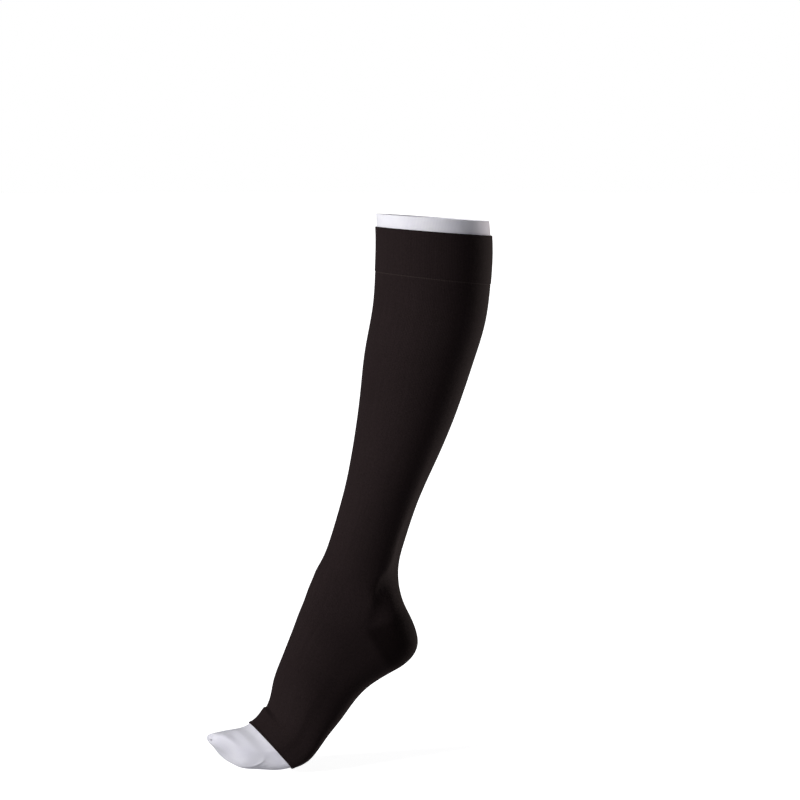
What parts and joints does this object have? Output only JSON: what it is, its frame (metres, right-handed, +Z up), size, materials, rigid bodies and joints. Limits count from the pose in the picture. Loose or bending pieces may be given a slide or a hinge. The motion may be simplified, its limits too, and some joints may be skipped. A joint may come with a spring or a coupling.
{
  "type": "compression stocking",
  "caption": "Knee-high compression stocking in hollow worn form on tiptoe: black open-toe over-stocking on a white closed-toe liner that shows as a top band and toe cap.",
  "frame": {"origin": "centre of the liner's open top below the knee, where the wearer's leg goes in and holds the stocking up", "axes": "+Z up the leg, -X towards the toes, +X towards the heel, -Y the leg's outer side and +Y its inner side"},
  "size_m": [0.287, 0.1158, 0.5526],
  "materials": {
    "black_knit": "dense matt elastic knit, black, with fine lengthwise ribs",
    "white_knit": "fine smooth elastic knit, cool white, slightly sheer"
  },
  "bodies": {
    "root": {"outer_stocking": "black_knit", "liner_stocking": "white_knit"}
  },
  "joints": []
}
